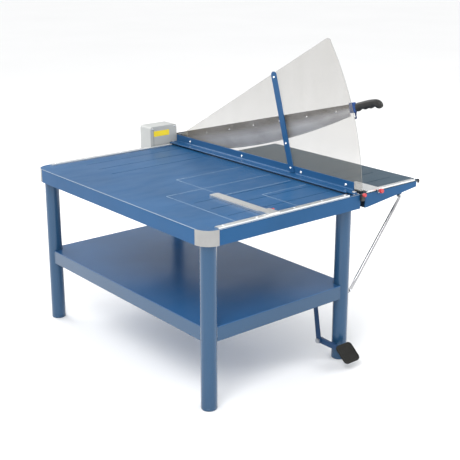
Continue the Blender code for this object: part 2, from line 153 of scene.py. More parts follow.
def paint(name, colour, rough=0.36, spread=0.10, peel=0.10, coat=0.12, gloss=0.35,
          tint=(0.50, 0.70, 1.0)):
    """Satin powder coat: slow tone drift, faint rub marks and a fine orange-peel skin."""
    mat, nt, sh = tree(name)
    drift = ramp(nt, noise(nt, 3.2), [(0.3, shade(colour, 1 - spread)), (0.7, shade(colour, 1 + spread))])
    dust = ramp(nt, noise(nt, 46, detail=8, rough=0.7), [(0.55, grey(0.0)), (0.85, grey(0.05))])
    nt.links.new(mix(nt, dust, drift, shade(colour, 1.9)), sh.inputs["Base Color"])
    marks = noise(nt, 7, (1, 3, 1), detail=5, rough=0.5)
    nt.links.new(ramp(nt, marks, [(0.35, grey(rough - 0.03)), (0.75, grey(rough + 0.05))]),
                 sh.inputs["Roughness"])
    sh.inputs["Specular IOR Level"].default_value = gloss
    sh.inputs["Specular Tint"].default_value = (*tint, 1)
    sh.inputs["Coat Weight"].default_value = coat
    sh.inputs["Coat Roughness"].default_value = 0.22
    bump(nt, sh, noise(nt, 620, detail=2), peel, 0.0004)
    return mat


def metal(name, colour, rough, grain=(1, 40, 1), scale=60, depth=0.25, spread=0.12):
    """Drawn or brushed metal with a grain along one direction and a few handling marks."""
    mat, nt, sh = tree(name)
    lines = noise(nt, scale, grain, detail=6, rough=0.7)
    tone = ramp(nt, lines, [(0.25, shade(colour, 1 - spread)), (0.75, shade(colour, 1 + spread))])
    marks = ramp(nt, noise(nt, 9, detail=8, rough=0.7), [(0.45, grey(0)), (0.75, grey(0.35))])
    nt.links.new(mix(nt, marks, tone, shade(colour, 0.75)), sh.inputs["Base Color"])
    nt.links.new(ramp(nt, lines, [(0.2, grey(rough - 0.07)), (0.8, grey(rough + 0.12))]),
                 sh.inputs["Roughness"])
    sh.inputs["Metallic"].default_value = 1.0
    bump(nt, sh, lines, depth, 0.0002)
    return mat


def plastic(name, colour, rough=0.5, spread=0.08, scale=420, depth=0.2, coat=0.0):
    """Moulded plastic or rubber: fine grain, slight mottling and worn high spots."""
    mat, nt, sh = tree(name)
    tone = ramp(nt, noise(nt, 14), [(0.3, shade(colour, 1 - spread)), (0.7, shade(colour, 1 + spread))])
    scuff = ramp(nt, noise(nt, 75, detail=9, rough=0.75), [(0.55, grey(0)), (0.8, grey(0.18))])
    light = tuple(v * 0.7 + 0.09 for v in colour)
    nt.links.new(mix(nt, scuff, tone, light), sh.inputs["Base Color"])
    nt.links.new(ramp(nt, noise(nt, 30), [(0.3, grey(rough - 0.08)), (0.7, grey(rough + 0.1))]),
                 sh.inputs["Roughness"])
    if coat:
        sh.inputs["Coat Weight"].default_value = coat
        sh.inputs["Coat Roughness"].default_value = 0.12
    bump(nt, sh, noise(nt, scale, detail=3), depth, 0.0003)
    return mat


M = {
    "top": paint("paint_table_top", (0.011, 0.078, 0.195), 0.33, 0.12, 0.04, 0.03, 0.22,
                 tint=(0.36, 0.62, 1.0)),
    "apron": paint("paint_apron", (0.017, 0.080, 0.195), 0.36, 0.08, 0.06, 0.0, 0.22),
    "leg": paint("paint_leg", (0.015, 0.058, 0.125), 0.20, 0.08, 0.05, 0.55, 0.5),
    "clamp": paint("paint_clamp", (0.014, 0.078, 0.195), 0.32, 0.08, 0.06, 0.10, 0.4),
    "shelf": paint("paint_shelf", (0.022, 0.085, 0.205), 0.20, 0.08, 0.03, 0.10, 0.50,
                   tint=(0.46, 0.68, 1.0)),
    "side": paint("paint_side_table", (0.034, 0.062, 0.086), 0.38, 0.12, 0.05, 0.0, 0.14,
                  tint=(0.6, 0.8, 1.0)),
    # near-black: the cover seam's dark joint, and painted shade on the side table's end face
    "end": paint("paint_dark_seam_and_shaded_end", (0.008, 0.013, 0.022), 0.45),
    "pedal": paint("paint_pedal", (0.018, 0.050, 0.120), 0.38),
    "hook": paint("paint_hook", (0.012, 0.024, 0.090), 0.38),
    "collar": paint("paint_collar", (0.020, 0.065, 0.230), 0.30, 0.12, 0.08, 0.3),
    "housing": paint("paint_housing", (0.40, 0.41, 0.40), 0.46, 0.08, 0.30, 0.05, 0.35, (1, 1, 1)),
    # near-black: painted shade for the groove floors
    "groove": paint("painted_groove_shade", (0.006, 0.018, 0.035), 0.6, 0.1, 0.05, 0.0, 0.2),
    "cap": plastic("plastic_cap", (0.30, 0.30, 0.295), 0.42, 0.05, 500, 0.10),
    "alu": metal("anodised_rail", (0.83, 0.83, 0.82), 0.30, (1, 30, 30), 40, 0.2, 0.07),
    "alu_y": metal("anodised_gauge", (0.83, 0.83, 0.82), 0.30, (30, 1, 30), 40, 0.2, 0.07),
    "steel": metal("turned_steel", (0.60, 0.61, 0.63), 0.26, (8, 8, 8), 60, 0.15),
    "zinc": metal("zinc_screw", (0.80, 0.81, 0.82), 0.20, (4, 4, 4), 90, 0.1, 0.06),
    "knife": metal("ground_knife", (0.58, 0.59, 0.62), 0.24, (30, 1, 30), 50, 0.2),
    "stiff": metal("blade_back_bar", (0.30, 0.30, 0.31), 0.38, (30, 1, 1), 40, 0.2),
    "chrome": metal("chrome_strut", (0.42, 0.42, 0.43), 0.14, (2, 2, 2), 20, 0.03, 0.04),
    "black": plastic("moulded_black", (0.022, 0.022, 0.024), 0.42, 0.2, 380, 0.3),
    "grip": plastic("moulded_grip", (0.024, 0.024, 0.023), 0.40, 0.2, 700, 0.45, 0.1),
    "rubber": plastic("rubber_tread", (0.012, 0.012, 0.010), 0.55, 0.2, 300, 0.4),
    "pad": plastic("rubber_strip", (0.012, 0.012, 0.012), 0.75, 0.2, 300, 0.3),
    "red": plastic("red_knob", (0.52, 0.022, 0.030), 0.28, 0.10, 300, 0.05, 0.5),
    "flag": plastic("studio_flag", (0.02, 0.02, 0.02), 0.9),
    "flag_grey": plastic("studio_flag_grey", (0.36, 0.37, 0.38), 0.9),
    "yellow": plastic("yellow_plate", (0.86, 0.66, 0.035), 0.40, 0.06, 300, 0.05, 0.2),
    "print": plastic("printed_lines", (0.40, 0.50, 0.60), 0.5, 0.1, 600, 0.1),
    # lighter blue-grey: painted highlight along the table plate's rounded edge
    "edge": plastic("painted_edge_highlight", (0.42, 0.50, 0.58), 0.35, 0.05, 300, 0.05, 0.2),
    "ink": plastic("ruler_ink", (0.05, 0.05, 0.06), 0.5, 0.1, 600, 0.05),
}


def blade_metal():
    """Hollow-ground blade: dark unground back band, then bright grinding marks to the edge, over painted
    highlight bands down the ground face.
    """
    mat, nt, sh = tree("ground_blade")
    lines = noise(nt, 42, (1, 0.6, 9), detail=8, rough=0.72)
    blotch = noise(nt, 5.5, (1, 1, 2.2), detail=6, rough=0.6)
    down = nt.nodes.new("ShaderNodeAttribute")
    down.attribute_name = "depth"
    # Darkest is the unground back band, the blade's own finish; the bright band partway down, the darker line
    # near the edge and the bright edge are painted highlight on the ground face.
    finish_and_highlight_band = ramp(nt, down.outputs["Fac"], [(0.0, (0.05, 0.05, 0.05)), (0.22, (0.09, 0.09, 0.095)),
                                          (0.38, (0.46, 0.46, 0.49)), (0.60, (0.92, 0.92, 0.95)),
                                          (0.92, (0.66, 0.66, 0.70)), (1.0, (0.95, 0.95, 0.96))])
    tone = mix(nt, ramp(nt, blotch, [(0.42, grey(0.0)), (0.62, grey(0.55))]), finish_and_highlight_band, (0.30, 0.30, 0.33))
    tone = mix(nt, ramp(nt, lines, [(0.45, grey(0.0)), (0.75, grey(0.30))]), tone, (0.95, 0.95, 0.97))
    nt.links.new(tone, sh.inputs["Base Color"])
    nt.links.new(ramp(nt, lines, [(0.2, grey(0.24)), (0.8, grey(0.42))]), sh.inputs["Roughness"])
    sh.inputs["Metallic"].default_value = 0.5
    bump(nt, sh, lines, 0.18, 0.0002)
    return mat


def acrylic(name, alpha, colour, rough):
    """Clear sheet: a faint warm veil with wiping streaks in its gloss."""
    mat, nt, sh = tree(name)
    streak = noise(nt, 6, (1, 3, 0.6), detail=6)
    nt.links.new(ramp(nt, streak, [(0.3, shade(colour, 0.97)), (0.7, shade(colour, 1.03))]),
                 sh.inputs["Base Color"])
    nt.links.new(ramp(nt, streak, [(0.3, grey(rough)), (0.75, grey(rough + 0.06))]),
                 sh.inputs["Roughness"])
    nt.links.new(ramp(nt, streak, [(0.3, grey(alpha * 0.94)), (0.7, grey(alpha * 1.06))]),
                 sh.inputs["Alpha"])
    sh.inputs["IOR"].default_value = 1.49
    return mat


M["blade"] = blade_metal()
M["guard"] = acrylic("acrylic_face", 0.24, (0.235, 0.212, 0.175), 0.08)
M["guard_rim"] = acrylic("acrylic_rim", 0.80, (0.22, 0.23, 0.22), 0.2)
DULL_GLOSS = 0.2
for soft in ("rubber", "grip"):
    M[soft].node_tree.nodes["Principled BSDF"].inputs["Specular IOR Level"].default_value = DULL_GLOSS

# The CAD nodes that take each finish.
FINISH = {
    "top": "table_top", "shelf": "shelf_panel",
    "apron": "front_apron rear_apron left_apron side_bracket_front side_bracket_rear",
    "leg": "shelf_rail_front shelf_rail_rear shelf_rail_left shelf_rail_right knife_beam "
           "leg_front_left leg_rear_left leg_front_right leg_rear_right side_hanger_front "
           "side_hanger_rear strut_lug_lower strut_lug_upper",
    "cap": "corner_cap_front corner_cap_rear", "alu": "front_rail rear_rail side_rail stop_plate",
    "alu_y": "gauge_bar gauge_head", "side": "side_table_top", "clamp": "clamp_bar guard_strut",
    # side_table_end is painted near-black: painted shade on that end face
    "end": "side_table_end", "pedal": "pedal_strap pedal_arm", "hook": "latch_hook",
    "collar": "handle_collar", "housing": "pivot_housing bearing_block",
    "steel": "pivot_bolt pivot_nut pivot_washer pull_rod guide_rod_front guide_rod_rear "
             "return_spring_front return_spring_rear pedal_bolt",
    "knife": "counter_knife", "stiff": "blade_stiffener", "chrome": "support_strut",
    "black": "latch_block", "grip": "handle_grip", "rubber": "pedal_pad", "pad": "clamp_pad",
    "red": "latch_knob gauge_knob stop_knob", "blade": "blade", "guard": "guard_panel",
}
for key, names in FINISH.items():
    for n in names.split():
        NODES[n].data.materials.clear()
        NODES[n].data.materials.append(M[key])


# ------------------------------------------------------------------ mesh helpers
def piece(name, verts, faces, mat, body, replaces=(), smooth=True, bevel=0.0, segments=3,
          subdivide=0, angle=35, slot=None, rim=None):
    """A finished mesh in table millimetres, riding on a body if one is named."""
    bm = bmesh.new()
    made = [bm.verts.new(W(*v)) for v in verts]
    for f in faces:
        bm.faces.new([made[i] for i in f])
    bmesh.ops.recalc_face_normals(bm, faces=bm.faces)
    mesh = bpy.data.meshes.new(name)
    bm.to_mesh(mesh)
    bm.free()
    mesh.materials.append(M[mat])
    if rim:
        mesh.materials.append(M[rim])
    obj = bpy.data.objects.new(name, mesh)
    bpy.context.scene.collection.objects.link(obj)
    if bevel:
        m = obj.modifiers.new("bevel", "BEVEL")
        m.width, m.segments, m.limit_method = bevel * MM, segments, "ANGLE"
        m.angle_limit = radians(30)
    if subdivide:
        m = obj.modifiers.new("subdivide", "SUBSURF")
        m.levels = m.render_levels = subdivide
    if smooth:
        mesh.polygons.foreach_set("use_smooth", [True] * len(mesh.polygons))
        if not subdivide:
            mesh.set_sharp_from_angle(angle=radians(angle))
    if body:
        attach(obj, body)
    if replaces:
        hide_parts(*replaces)
    return obj


def at(axis, a, b, t):
    """The point at distance t along an axis, and at a, b on the other two."""
    return {"X": (t, a, b), "Y": (a, t, b), "Z": (a, b, t)}[axis]


def prism(axis, pts, lo, hi):
    """An outline carried along an axis from lo to hi."""
    n = len(pts)
    verts = [at(axis, a, b, t) for t in (lo, hi) for a, b in pts]
    faces = [list(range(n))[::-1], list(range(n, 2 * n))]
    faces += [[i, (i + 1) % n, n + (i + 1) % n, n + i] for i in range(n)]
    return verts, faces


def block(x0, x1, y0, y1, z0, z1):
    return prism("Z", [(x0, y0), (x1, y0), (x1, y1), (x0, y1)], z0, z1)


def merge(shapes):
    """Several shapes as one, each still a body of its own."""
    verts, faces = [], []
    for v, f in shapes:
        base = len(verts)
        verts += v
        faces += [[i + base for i in face] for face in f]
    return verts, faces


def turned(axis, a, b, profile, n=32, radial=None):
    """Rings of (radius, distance); radial(angle, ring) scales a ring's radius."""
    verts, faces, rings = [], [], []
    for k, (r, t) in enumerate(profile):
        if r == 0:
            rings.append([len(verts)] * n)
            verts.append(at(axis, a, b, t))
            continue
        rings.append(list(range(len(verts), len(verts) + n)))
        for i in range(n):
            g = 2 * pi * i / n
            s = r * (radial(g, k) if radial else 1)
            verts.append(at(axis, a + s * cos(g), b + s * sin(g), t))
    for p, q in zip(rings, rings[1:]):
        for i in range(n):
            j = (i + 1) % n
            face = []
            for v in (p[i], p[j], q[j], q[i]):
                if v not in face:
                    face.append(v)
            if len(face) > 2:
                faces.append(face)
    return verts, faces


def hexed(ring0):
    """Round rings up to ring0, six-sided ones from it on, for a socket in a screw head."""
    def f(g, k):
        return cos(pi / 6) / cos((g % (pi / 3)) - pi / 6) if k >= ring0 else 1
    return f


def screw(axis, a, b, face, out, r):
    """Domed socket screw head standing out of a face; out is +1 or -1 along the axis."""
    p = [(0, 0.02), (r, 0.02), (r, 0.18 * r), (0.86 * r, 0.42 * r), (0.6 * r, 0.55 * r),
         (0.46 * r, 0.56 * r), (0.46 * r, 0.2 * r), (0, 0.2 * r)]
    return turned(axis, a, b, [(q, face + out * t) for q, t in p], 24, hexed(5))


def knob(axis, a, b, face, out, r, length, stem=3.0, lobes=12):
    """Fluted thumb knob with a dished cap on a short stem."""
    p = [(0, -3), (stem, -3), (stem, 1.2), (0.72 * r, 1.2), (0.94 * r, 2.2), (r, 3.4),
         (r, length - 2.4), (0.93 * r, length - 0.9), (0.8 * r, length), (0.62 * r, length),
         (0.52 * r, length - 0.8), (0, length - 0.8)]

    def flute(g, k):
        return 1 + (0.045 * cos(lobes * g) - 0.045 if 4 <= k <= 7 else 0)
    return turned(axis, a, b, [(q, face + out * t) for q, t in p], 96, flute)


def blade_point(u, w):
    """u forward along the raised blade from its pivot, w square to it; gives table y and z."""
    py, pz = (PIVOT[1] - T0.y) / MM, PIVOT[2] / MM
    return py - u * cos(LIFT) + w * sin(LIFT), pz + u * sin(LIFT) + w * cos(LIFT)


def rounded_rect(x0, x1, y0, y1, r, n=6):
    """A rectangle's outline with corners of radius r, n steps to a corner."""
    pts = []
    corners = ((x1 - r, y1 - r, 0), (x0 + r, y1 - r, 90), (x0 + r, y0 + r, 180), (x1 - r, y0 + r, 270))
    for cx, cy, a0 in corners:
        pts += [(cx + r * cos(radians(a0 + 90 * i / n)), cy + r * sin(radians(a0 + 90 * i / n)))
                for i in range(n + 1)]
    return pts


# ------------------------------------------------------------------ legs: smooth tubes with foot rings
UNDER = table_box("leg_front_left")[1].z
for leg in ("leg_front_left", "leg_rear_left", "leg_front_right", "leg_rear_right"):
    lo, hi = table_box(leg)
    cx, cy, r = (lo.x + hi.x) / 2, (lo.y + hi.y) / 2, (hi.x - lo.x) / 2
    prof = [(0, 0), (r - 2.5, 0), (r - 0.6, 0.8), (r, 2.4), (r, 9.5), (r - 0.5, 10.0), (r - 0.5, 10.8),
            (r, 11.3), (r, UNDER - 1), (r - 1, UNDER), (0, UNDER)]
    piece("tube_" + leg[4:], *turned("Z", cx, cy, prof, 72), "leg", "base", (leg,), slot="blue_paint")

# ------------------------------------------------------------------ pivot housing and its plain plate
lo, hi = table_box("pivot_housing")
ring = rounded_rect(lo.x, hi.x, lo.z - 30, hi.z, 12, 8)
ring = [(a, max(b, lo.z)) for a, b in ring]
ring = [p for i, p in enumerate(ring) if p != ring[i - 1]]
piece("pivot_cover", *prism("Y", ring, lo.y, hi.y), "housing", "base", ("pivot_housing",),
      bevel=5, segments=4, slot="grey_paint")
seam = block(lo.x + 17, lo.x + 18.4, lo.y - 0.15, lo.y + 1, lo.z + 2, hi.z - 14)
piece("cover_seam", *seam, "end", "base")
plate = rounded_rect(618, 706, 725, 751, 3, 4)
piece("plain_plate", *prism("Y", plate, lo.y - 0.25, lo.y + 0.6), "yellow", "base", bevel=0.2, segments=1)
heads = [screw("Y", x, z, lo.y + 0.05, -1, 4.0) for x in (612, 738) for z in (664, 762)]
piece("cover_screws", *merge(heads), "zinc", "base")
heads = [screw("Y", x, z, hi.y - 0.9 - 1.6, 1, 4.2) for x in (618, 732) for z in (665, 750)]
piece("cover_back_screws", *merge(heads), "zinc", "base")

# ------------------------------------------------------------------ guard sheet and its screws
lo, hi = table_box("guard_panel")
ARC_C, ARC_R = (1069.0, 629.0), 1076.0       # the front edge's arc, in y and z
HEEL_Y, HEEL_Z = 1196.0, 697.6               # the low rear end of the sloping top edge
TIP_Y = 205.0
slope = (hi.z - HEEL_Z) / (TIP_Y - HEEL_Y)
outline = [(-3.4, 692.5)]
outline += [(ARC_C[0] - sqrt(ARC_R ** 2 - (z - ARC_C[1]) ** 2), z) for z in range(710, 1239, 12)]
outline += [(186.5, 1248.5), (190.5, 1251.6), (196.5, 1253.4), (203, 1253.2), (209, 1251)]
outline += [(1193.5, HEEL_Z + slope * (1193.5 - HEEL_Y)), (1197.5, 696.2), (1196.5, 692.5)]
guard = piece("guard_sheet", *prism("X", outline, lo.x, hi.x), "guard", "clamp", ("guard_panel",),
              smooth=False, bevel=0.35, segments=2, slot="clear", rim="guard_rim")
for poly in guard.data.polygons:
    if abs(poly.normal.x) < 0.5:
        poly.material_index = 1

FLANGE_T = 3.7
CLAMP_SCREW_Y = (74, 324, 696, 1069)
flange_x = table_box("clamp_bar")[1].x - FLANGE_T
clamp_screws = [screw("X", y, 704, flange_x, -1, 5.6) for y in CLAMP_SCREW_Y]
clamp_screws += [screw("X", y, 704, hi.x, 1, 5.0) for y in CLAMP_SCREW_Y]
strut_x = table_box("guard_strut")[0].x
clamp_screws += [screw("X", y, z, strut_x, -1, 5.0) for y, z in ((490, 1072), (412, 809), (382, 712))]
clamp_screws += [screw("X", y, z, hi.x, 1, 5.0) for y, z in ((490, 1072), (412, 809))]
piece("clamp_screws", *merge(clamp_screws), "zinc", "clamp")

# ------------------------------------------------------------------ blade
EDGE_C, EDGE_R = (505.0, 3314.6), 3398.0
BX0, BX1 = table_box("blade")[0].x, table_box("blade")[1].x
END = 1171.0


def edge_w(u):
    """The curved cutting edge at u along the blade."""
    return EDGE_C[1] - sqrt(EDGE_R ** 2 - (u - EDGE_C[0]) ** 2)


def top_w(u):
    """The straight back edge at u along the blade."""
    return 23.3 + 4.5 * (u - 12) / (END - 12)


ROWS = [0.0, 0.08, 0.16, 0.24, 0.30, 0.36, 0.44, 0.54, 0.64, 0.74, 0.84, 0.92, 0.955, 0.97, 1.0]
COLS = [30 + (END - 30) * i / 56 for i in range(57)]


def hollow(v):
    """How far the left face is ground back from flat, mm, at depth v down the blade."""
    if v < 0.26:
        return 0.0
    s = (v - 0.26) / 0.71
    return min(2.6, 3.4 * s * s * (1.35 - 0.45 * s)) if v < 0.965 else 2.6 + (v - 0.965) / 0.035 * 1.4


verts, faces, depths = [], [], []
for side in (0, 1):
    for u in COLS:
        for v in ROWS:
            w = top_w(u) + (edge_w(u) - top_w(u)) * v
            y, z = blade_point(u, w)
            x = BX0 + hollow(v) if side == 0 else BX1 - (0.9 * max(0, v - 0.5) if v < 0.965 else 0.45)
            verts.append((x, y, z))
            depths.append(v)
nr, nc = len(ROWS), len(COLS)
for side in (0, 1):
    base = side * nr * nc
    for i in range(nc - 1):
        for k in range(nr - 1):
            q = base + i * nr + k
            faces.append([q, q + 1, q + nr + 1, q + nr])
off = nr * nc
for i in range(nc - 1):
    faces.append([i * nr, (i + 1) * nr, off + (i + 1) * nr, off + i * nr])
    q = i * nr + nr - 1
    faces.append([q, q + nr, off + q + nr, off + q])
for k in range(nr - 1):
    faces.append([k, k + 1, off + k + 1, off + k])
    q = (nc - 1) * nr + k
    faces.append([q, q + 1, off + q + 1, off + q])
blade = piece("ground_blade", verts, faces, "blade", "blade_arm", ("blade",), angle=50, slot="blade_steel")
layer = blade.data.attributes.new("depth", "FLOAT", "POINT")
layer.data.foreach_set("value", depths)

# root lug round the pivot
hub = [(31, 22.8), (12, 22.8)]
hub += [(26 * cos(radians(a)), 26 * sin(radians(a))) for a in range(70, 241, 10)]
hub += [(31, edge_w(40) + 1.5)]
hub_yz = [blade_point(u, w) for u, w in hub]
piece("blade_root", *prism("X", hub_yz, BX0 + 0.2, BX1 - 0.2), "steel", "blade_arm", bevel=0.6, segments=2)
cover = [blade_point(u, w) for u, w in rounded_rect(34, 118, -18, 19, 3, 4)]
piece("root_plate", *prism("X", cover, BX0 - 0.15, BX0 + 0.3), "alu_y", "blade_arm", bevel=0.3, segments=2)
SCREW_U = (265, 433, 601, 768, 935, 1102)
heads = []
for u in SCREW_U:
    y, z = blade_point(u, top_w(u) - 22)
    heads.append(screw("X", y, z, BX0 + 0.1, -1, 4.6))
for u in SCREW_U:
    y, z = blade_point(u, 14)
    heads.append(screw("X", y, z, table_box("blade_stiffener")[1].x, 1, 4.6))
piece("blade_screws", *merge(heads), "zinc", "blade_arm")

# ------------------------------------------------------------------ handle
# Cross sections along the grip: u, then its lowest and highest w, and half its width.
STATIONS = [(1201.3, -3, 27.5, 11.5), (1206, -4.5, 28.5, 12.4), (1213, -4.5, 29.5, 12.6),
            (1220, -0.5, 29.8, 12.2), (1228, 2.3, 30.3, 11.8), (1236, 1.6, 31.0, 12.0),
            (1244, -1.4, 31.8, 12.5), (1250, -1.2, 32.2, 12.5), (1257, 1.8, 32.6, 12.1),
            (1264, 1.9, 32.8, 12.2), (1272, -0.9, 33.0, 12.6), (1279, -0.6, 32.9, 12.6),
            (1286, 2.6, 32.7, 12.2), (1293, 4.4, 32.2, 12.0), (1299, 2.6, 31.6, 12.1),
            (1305, -2.8, 30.6, 12.3), (1312, -5.4, 28.6, 12.2), (1319, -5.2, 24.6, 11.6),
            (1325, -2.6, 18.5, 10.2), (1328.6, 1.0, 12.5, 7.2)]
GX0, GX1 = table_box("handle_grip")[0].x, table_box("handle_grip")[1].x
gx = (GX0 + GX1) / 2
verts, faces = [], []
SIDES = 28
FULLNESS = 2 / 2.5           # 1 is an ellipse, less is squarer
for u, low, high, half in STATIONS:
    c, h = (low + high) / 2, (high - low) / 2
    for i in range(SIDES):
        g = 2 * pi * i / SIDES
        dx = half * abs(cos(g)) ** FULLNESS * (1 if cos(g) > 0 else -1)
        dw = h * abs(sin(g)) ** FULLNESS * (1 if sin(g) > 0 else -1)
        y, z = blade_point(u, c + dw)
        verts.append((gx + dx, y, z))
for k in range(len(STATIONS) - 1):
    for i in range(SIDES):
        j = (i + 1) % SIDES
        faces.append([k * SIDES + i, k * SIDES + j, (k + 1) * SIDES + j, (k + 1) * SIDES + i])
faces.append(list(range(SIDES)))
faces.append(list(range((len(STATIONS) - 1) * SIDES, len(STATIONS) * SIDES)))
piece("hand_grip", verts, faces, "grip", "blade_arm", ("handle_grip",), subdivide=1, slot="black")

# ------------------------------------------------------------------ knobs
lo, hi = table_box("latch_knob")
c = (lo + hi) / 2
piece("catch_knob_cap", *knob("Y", c.x, c.z, -11.1, -1, (hi.x - lo.x) / 2, 12.8), "red", "catch_knob",
      ("latch_knob",), slot="red")
lo, hi = table_box("gauge_knob")
c = (lo + hi) / 2
piece("gauge_knob_cap", *knob("X", c.y, c.z, 335.1, 1, (hi.y - lo.y) / 2, 12.6, 2.6, 10), "red",
      "gauge_lock", ("gauge_knob",), slot="red")
lo, hi = table_box("stop_knob")
c = (lo + hi) / 2
piece("stop_knob_cap", *knob("Y", c.x, c.z, -8.1, -1, (hi.x - lo.x) / 2, 14.6), "red", "stop_lock",
      ("stop_knob",), slot="red")

# ------------------------------------------------------------------ pedal
PX0, PX1 = table_box("pedal_pad")[0].x, table_box("pedal_pad")[1].x
SLOPE = atan2(55, 65.4)
ORIGIN = (-8.0, 91.0)


def tread_point(x, s, h):
    """s forward down the slope from the tread's back edge, h above its surface."""
    return (x, ORIGIN[0] - s * cos(SLOPE) - h * sin(SLOPE), ORIGIN[1] - s * sin(SLOPE) + h * cos(SLOPE))


def tread_shape(pts, h0, h1):
    """An outline in x and s, carried from h0 to h1 square to the slope."""
    n = len(pts)
    v = [tread_point(x, s, h) for h in (h0, h1) for x, s in pts]
    f = [list(range(n))[::-1], list(range(n, 2 * n))]
    return v, f + [[i, (i + 1) % n, n + (i + 1) % n, n + i] for i in range(n)]


body = rounded_rect(PX0 + 1, PX1 - 1, 2, 84, 17, 8)
piece("tread_body", *tread_shape(body, -9, -2.6), "rubber", "pedal", ("pedal_pad",), bevel=2.2, segments=3,
      slot="rubber")
inner = rounded_rect(PX0 + 6, PX1 - 6, 7, 79, 13, 8)
rim_out = rounded_rect(PX0 + 1.6, PX1 - 1.6, 2.6, 83.4, 16.5, 8)
n = len(inner)
rim_rings = ((rim_out, -3.2), (rim_out, -0.9), (inner, -0.9), (inner, -3.2))
v = [tread_point(x, s, h) for pts, h in rim_rings for x, s in pts]
f = [[k * n + i, k * n + (i + 1) % n, ((k + 1) % 4) * n + (i + 1) % n, ((k + 1) % 4) * n + i]
     for k in range(4) for i in range(n)]
piece("tread_rim", v, f, "rubber", "pedal", bevel=0.5, segments=2)
RIB_W = 3.2
ribs = [tread_shape(rounded_rect(PX0 + 10, PX1 - 10, s, s + RIB_W, 1.4, 3), -3, -1.4)
        for s in range(12, 74, 7)]
piece("tread_ribs", *merge(ribs), "rubber", "pedal", bevel=0.4, segments=2)

# ------------------------------------------------------------------ printed format lines and rulers
TOP = 680.02
CUT_X, STOP_Y = 757.7, 28.5
LINE = 1.3
marks = []


def line(x0, x1, y0, y1):
    """One printed line, a hair above the table's surface."""
    marks.append(block(x0, x1, y0, y1, TOP - 0.4, TOP + 0.05))


FORMATS = ((594, 420), (420, 297), (297, 210), (420, 594))       # sheet sides from the cut and the stop
for size_x, size_y in FORMATS:
    x, y = CUT_X - size_x, STOP_Y + size_y
    line(x, 690, y - LINE / 2, y + LINE / 2)
    line(x - LINE / 2, x + LINE / 2, 36, y)
    line(x, x + 46, y - 1.6, y + 1.6)
    line(x - 1.6, x + 1.6, y - 40, y)
piece("format_lines", *merge(marks), "print", "base", smooth=False)

# Rulers without figures: a tick every 5 mm, longer ones at 10 and 50 mm.
PITCH, TICK = 5, 0.25
GAUGE_HIDES = (283, 337)     # the stretch of the front rail under the gauge's head
SIDE_RULER_X = 866
ticks = []
lo, hi = table_box("front_rail")
x = lo.x + PITCH
while x < hi.x - 2:
    k = round((x - lo.x - PITCH) / PITCH)
    if not GAUGE_HIDES[0] < x < GAUGE_HIDES[1]:
        deep = 9 if k % 10 == 0 else 6.5 if k % 2 == 0 else 4
        ticks.append(block(x - TICK, x + TICK, hi.y - 1.6 - deep, hi.y - 1.6, hi.z - 0.2, hi.z + 0.04))
    x += PITCH
lo, hi = table_box("side_rail")
x = SIDE_RULER_X
while x < hi.x - 2:
    deep = 8 if round(x - SIDE_RULER_X) % 50 == 0 else 5
    ticks.append(block(x - TICK, x + TICK, hi.y - 1.6 - deep, hi.y - 1.6, hi.z - 0.2, hi.z + 0.04))
    x += PITCH
piece("rail_ruler", *merge(ticks), "ink", "base", smooth=False)
ticks = []
lo, hi = table_box("gauge_bar")
y = lo.y + 6
while y < hi.y - 12:
    deep = 12 if round(y - lo.y - 6) % 50 == 0 else 7
    ticks.append(block(lo.x + 2, lo.x + 2 + deep, y - TICK, y + TICK, hi.z - 0.2, hi.z + 0.04))
    y += PITCH
piece("gauge_ruler", *merge(ticks), "ink", "gauge", smooth=False)
ticks = []
hi = table_box("stop_plate")[1]
for k in range(11):
    x = 776 + 7.5 * k
    ticks.append(block(x - 0.3, x + 0.3, 92, 104 if k % 5 else 110, hi.z - 0.2, hi.z + 0.04))
piece("stop_ruler", *merge(ticks), "ink", "stop", smooth=False)

# ------------------------------------------------------------------ painted shade in the grooves, painted highlight along the table's edges
GROOVE_HALF, GROOVE_Z = 1.2, (678.9, 679.35)
TABLE_GROOVES, SIDE_GROOVES = (110, 210, 310, 870, 970, 1070), (105, 200, 300)
# Dark strips laid on the groove floors: painted shade where the grooves fall dark.
groove_shade_blocks = [block(188, 689, y - GROOVE_HALF, y + GROOVE_HALF, *GROOVE_Z) for y in TABLE_GROOVES]
groove_shade_blocks += [block(876, 1039, y - GROOVE_HALF, y + GROOVE_HALF, *GROOVE_Z) for y in SIDE_GROOVES]
piece("groove_shade_strips", *merge(groove_shade_blocks), "groove", "base", smooth=False)
# Light strips along the plate's left and front edges: a painted highlight where the rounded edge catches the
# light.
edge = [block(0.0, 3.4, 61, 1119, 679.2, 680.06), block(61, 749.5, 0.0, 2.4, 679.2, 680.06)]
piece("edge_highlight_strips", *merge(edge), "edge", "base", smooth=False)
tip = [(1088, 0.6), (1096, 0.6), (1099.6, 4.4), (1099.6, 14), (1094, 14), (1088, 8)]
piece("side_corner_tip", *prism("Z", tip, TOP, 682.4), "black", "base", bevel=0.7, segments=2)
wrap = [(1082, -0.4), (1096.4, -0.4), (1100, 3.6), (1100, 16), (1098.8, 16), (1098.8, 4.4), (1095.6, 0.0),
        (1082, 0.0)]
piece("side_corner_wrap", *prism("Z", wrap, 668, TOP), "black", "base", bevel=0.15, segments=1)

